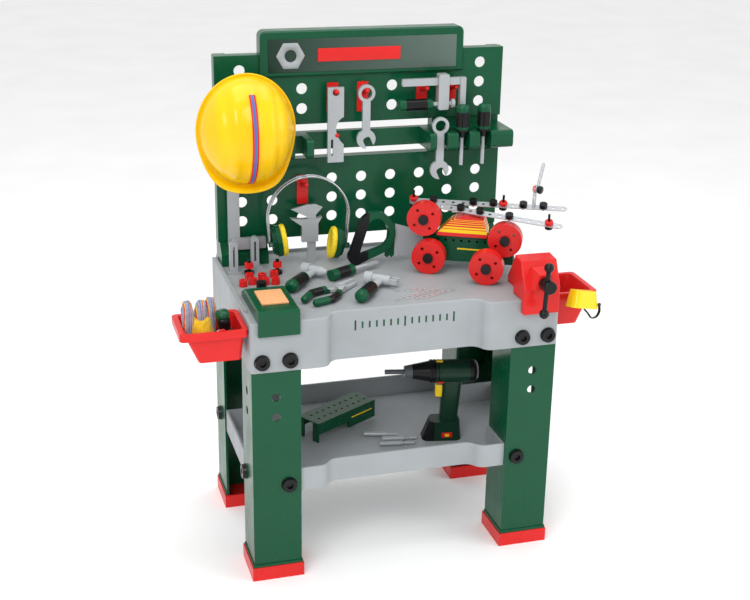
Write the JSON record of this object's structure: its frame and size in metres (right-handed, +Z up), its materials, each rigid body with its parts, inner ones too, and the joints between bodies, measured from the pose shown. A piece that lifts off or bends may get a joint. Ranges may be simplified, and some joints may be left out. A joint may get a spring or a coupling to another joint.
{
  "type": "toy tool bench",
  "caption": "Child-size two-deck tool bench with perforated back wall, vise, hanging boxes and a full set of loose toy tools",
  "frame": {"origin": "on the floor, midway between the legs", "axes": "+X to the right of a child at the bench, +Y towards the back wall, +Z up"},
  "size_m": [0.84, 0.458, 1.008],
  "materials": {
    "green_plastic": "smooth gloss",
    "grey_plastic": "satin",
    "red_plastic": "smooth gloss",
    "black_plastic": "satin",
    "yellow_plastic": "smooth gloss",
    "silver_plastic": "metallic satin",
    "tool_plastic": "two-tone, gloss",
    "cushion_foam": "soft foam",
    "glove_cloth": "woven"
  },
  "bodies": {
    "bench": {"corner_block": "green_plastic", "foot_caps": "red_plastic", "frame_bolts": "black_plastic", "header": "green_plastic", "legs_front": "green_plastic", "legs_rear": "green_plastic", "lower_panel": "green_plastic", "panel_hooks": "red_plastic", "saw_guides": "grey_plastic", "shelf_tray": "grey_plastic", "tabletop": "grey_plastic", "tool_rail": "green_plastic", "upper_panel": "green_plastic", "uprights": "green_plastic", "vise_base": "red_plastic"},
    "vise_jaw": {"vise_jaw": "red_plastic"},
    "vise_screw": {"vise_screw": "black_plastic"},
    "box_left": {"box_left": "red_plastic"},
    "gloves": {"gloves": "glove_cloth"},
    "box_right": {"box_right": "red_plastic"},
    "goggles": {"goggles_frame": "yellow_plastic"},
    "helmet": {"helmet": "yellow_plastic"},
    "ear_defenders": {"ear_band": "silver_plastic"},
    "ear_cup_left": {"ear_cup_left": "green_plastic", "ear_cushion_left": "cushion_foam"},
    "ear_cup_right": {"ear_cup_right": "green_plastic", "ear_cushion_right": "cushion_foam"},
    "wrench_hung": {"wrench_hung": "silver_plastic"},
    "wrench_racked": {"wrench_racked": "silver_plastic"},
    "screwdriver_left": {"screwdriver_left": "tool_plastic"},
    "screwdriver_right": {"screwdriver_right": "tool_plastic"},
    "wavy_gauge": {"wavy_gauge": "silver_plastic"},
    "clamp": {"clamp_bar": "silver_plastic"},
    "clamp_slide": {"clamp_slide": "silver_plastic"},
    "clamp_screw": {"clamp_screw": "tool_plastic"},
    "square": {"square_stock": "silver_plastic"},
    "square_blade": {"square_blade": "silver_plastic"},
    "caliper": {"caliper_beam": "silver_plastic"},
    "caliper_slider": {"caliper_slider": "silver_plastic"},
    "hand_saw": {"hand_saw": "tool_plastic"},
    "cross_hammer": {"cross_hammer": "tool_plastic"},
    "claw_hammer": {"claw_hammer": "tool_plastic"},
    "chisel": {"chisel": "tool_plastic"},
    "pliers": {"pliers_fixed_half": "tool_plastic"},
    "pliers_moving_half": {"pliers_moving_half": "tool_plastic"},
    "kit_strips": {"kit_strips": "silver_plastic"},
    "loose_fasteners": {"loose_fasteners": "red_plastic"},
    "car": {"car_chassis": "green_plastic", "car_bonnet": "red_plastic", "car_wing": "silver_plastic", "car_fasteners": "black_plastic"},
    "wheel_front_low": {"wheel_front_low": "red_plastic"},
    "wheel_rear_low": {"wheel_rear_low": "red_plastic"},
    "wheel_front_high": {"wheel_front_high": "red_plastic"},
    "wheel_rear_high": {"wheel_rear_high": "red_plastic"},
    "drill": {"drill_body": "green_plastic"},
    "drill_chuck": {"drill_chuck": "black_plastic"},
    "drill_trigger": {"drill_trigger": "yellow_plastic"},
    "kit_plate": {"kit_plate": "green_plastic"},
    "drill_bits": {"drill_bits": "silver_plastic"}
  },
  "joints": [
    {"name": "vise_jaw_travel", "type": "slide", "parent": "bench", "child": "vise_jaw", "axis": [0, -1, 0], "range_m": [0, 0.035]},
    {"name": "vise_screw_turn", "type": "hinge", "parent": "vise_jaw", "child": "vise_screw", "pos_m": [0.256, -0.247, 0.58], "axis": [0, -1, 0], "range_deg": [0, 1050]},
    {"name": "box_left_lift", "type": "slide", "parent": "bench", "child": "box_left", "axis": [0, 0, 1], "range_m": [0, 0.1]},
    {"name": "gloves_lift", "type": "slide", "parent": "box_left", "child": "gloves", "axis": [0, 0, 1], "range_m": [0, 0.1]},
    {"name": "box_right_lift", "type": "slide", "parent": "bench", "child": "box_right", "axis": [0, 0, 1], "range_m": [0, 0.1]},
    {"name": "goggles_lift", "type": "slide", "parent": "box_right", "child": "goggles", "axis": [0, -0.5, 0.866], "range_m": [0, 0.1]},
    {"name": "helmet_lift", "type": "slide", "parent": "bench", "child": "helmet", "axis": [0, -0.9659, 0.2588], "range_m": [0, 0.15]},
    {"name": "ear_defenders_lift", "type": "slide", "parent": "bench", "child": "ear_defenders", "axis": [0, -0.3499, 0.9368], "range_m": [0, 0.03]},
    {"name": "ear_cup_left_tilt", "type": "hinge", "parent": "ear_defenders", "child": "ear_cup_left", "pos_m": [-0.202, 0.104, 0.59], "axis": [0, 1, 0], "range_deg": [0, 10]},
    {"name": "ear_cup_right_tilt", "type": "hinge", "parent": "ear_defenders", "child": "ear_cup_right", "pos_m": [-0.044, 0.104, 0.577], "axis": [0, 1, 0], "range_deg": [-10, 0]},
    {"name": "wrench_hung_lift", "type": "slide", "parent": "bench", "child": "wrench_hung", "axis": [0, -0.9659, 0.2588], "range_m": [0, 0.08]},
    {"name": "wrench_racked_lift", "type": "slide", "parent": "bench", "child": "wrench_racked", "axis": [0, -1, 0], "range_m": [0, 0.08]},
    {"name": "screwdriver_left_lift", "type": "slide", "parent": "bench", "child": "screwdriver_left", "axis": [0, 0, 1], "range_m": [0, 0.05]},
    {"name": "screwdriver_right_lift", "type": "slide", "parent": "bench", "child": "screwdriver_right", "axis": [0, 0, 1], "range_m": [0, 0.05]},
    {"name": "wavy_gauge_lift", "type": "slide", "parent": "bench", "child": "wavy_gauge", "axis": [0, -0.9659, 0.2588], "range_m": [0, 0.08]},
    {"name": "clamp_lift", "type": "slide", "parent": "bench", "child": "clamp", "axis": [0, -0.6, 0.8], "range_m": [0, 0.1]},
    {"name": "clamp_slide_travel", "type": "slide", "parent": "clamp", "child": "clamp_slide", "axis": [1, 0, 0], "range_m": [-0.012, 0.006]},
    {"name": "clamp_screw_turn", "type": "hinge", "parent": "clamp_slide", "child": "clamp_screw", "pos_m": [0.1, 0.105, 0.858], "axis": [1, 0, 0], "continuous": true},
    {"name": "square_lift", "type": "slide", "parent": "bench", "child": "square", "axis": [-1, 0, 0], "range_m": [0, 0.12]},
    {"name": "square_blade_turn", "type": "hinge", "parent": "square", "child": "square_blade", "pos_m": [-0.27, 0.132, 0.586], "axis": [0, 1, 0], "range_deg": [0, 90]},
    {"name": "caliper_lift", "type": "slide", "parent": "bench", "child": "caliper", "axis": [0, -0.7001, 0.7141], "range_m": [0, 0.15]},
    {"name": "caliper_slide_travel", "type": "slide", "parent": "caliper", "child": "caliper_slider", "axis": [0, 0, 1], "range_m": [-0.03, 0.003]},
    {"name": "hand_saw_lift", "type": "slide", "parent": "bench", "child": "hand_saw", "axis": [0, 0, 1], "range_m": [0, 0.04]},
    {"name": "cross_hammer_lift", "type": "slide", "parent": "bench", "child": "cross_hammer", "axis": [0, 0, 1], "range_m": [0, 0.08]},
    {"name": "claw_hammer_lift", "type": "slide", "parent": "bench", "child": "claw_hammer", "axis": [0, 0, 1], "range_m": [0, 0.08]},
    {"name": "chisel_lift", "type": "slide", "parent": "bench", "child": "chisel", "axis": [0, 0, 1], "range_m": [0, 0.08]},
    {"name": "pliers_lift", "type": "slide", "parent": "bench", "child": "pliers", "axis": [0, 0, 1], "range_m": [0, 0.08]},
    {"name": "pliers_open", "type": "hinge", "parent": "pliers", "child": "pliers_moving_half", "pos_m": [-0.1, -0.07, 0.546], "axis": [0, 0, 1], "range_deg": [-18, 0]},
    {"name": "kit_strips_lift", "type": "slide", "parent": "bench", "child": "kit_strips", "axis": [0, 0, 1], "range_m": [0, 0.08]},
    {"name": "loose_fasteners_lift", "type": "slide", "parent": "bench", "child": "loose_fasteners", "axis": [0, 0, 1], "range_m": [0, 0.02]},
    {"name": "car_lift", "type": "slide", "parent": "bench", "child": "car", "axis": [0, 0, 1], "range_m": [0, 0.03]},
    {"name": "wheel_front_low_spin", "type": "hinge", "parent": "car", "child": "wheel_front_low", "pos_m": [0.10177, -0.0021, 0.5725], "axis": [0.456, 0.89, 0], "continuous": true},
    {"name": "wheel_rear_low_spin", "type": "hinge", "parent": "car", "child": "wheel_rear_low", "pos_m": [0.19122, -0.09287, 0.5725], "axis": [0.456, 0.89, 0], "continuous": true},
    {"name": "wheel_front_high_spin", "type": "hinge", "parent": "car", "child": "wheel_front_high", "pos_m": [0.09752, 0.02031, 0.6463], "axis": [0.456, 0.89, 0], "continuous": true},
    {"name": "wheel_rear_high_spin", "type": "hinge", "parent": "car", "child": "wheel_rear_high", "pos_m": [0.24117, -0.06116, 0.6163], "axis": [0.456, 0.89, 0], "continuous": true},
    {"name": "drill_lift", "type": "slide", "parent": "bench", "child": "drill", "axis": [0, 0, 1], "range_m": [0, 0.07]},
    {"name": "drill_chuck_spin", "type": "hinge", "parent": "drill", "child": "drill_chuck", "pos_m": [0.08121, -0.033, 0.3343], "axis": [0.9798, -0.2, 0], "continuous": true},
    {"name": "drill_trigger_press", "type": "slide", "parent": "drill", "child": "drill_trigger", "axis": [0.9798, -0.2, 0], "range_m": [0, 0.005], "stiffness_N_per_m": 400, "springref_m": -0.002},
    {"name": "kit_plate_lift", "type": "slide", "parent": "bench", "child": "kit_plate", "axis": [0, 0, 1], "range_m": [0, 0.08]},
    {"name": "drill_bits_lift", "type": "slide", "parent": "bench", "child": "drill_bits", "axis": [0, 0, 1], "range_m": [0, 0.08]}
  ],
  "couplings": [
    {"joint": "vise_jaw_travel", "follows": "vise_screw_turn", "m_per_rad": 0.0019099}
  ]
}
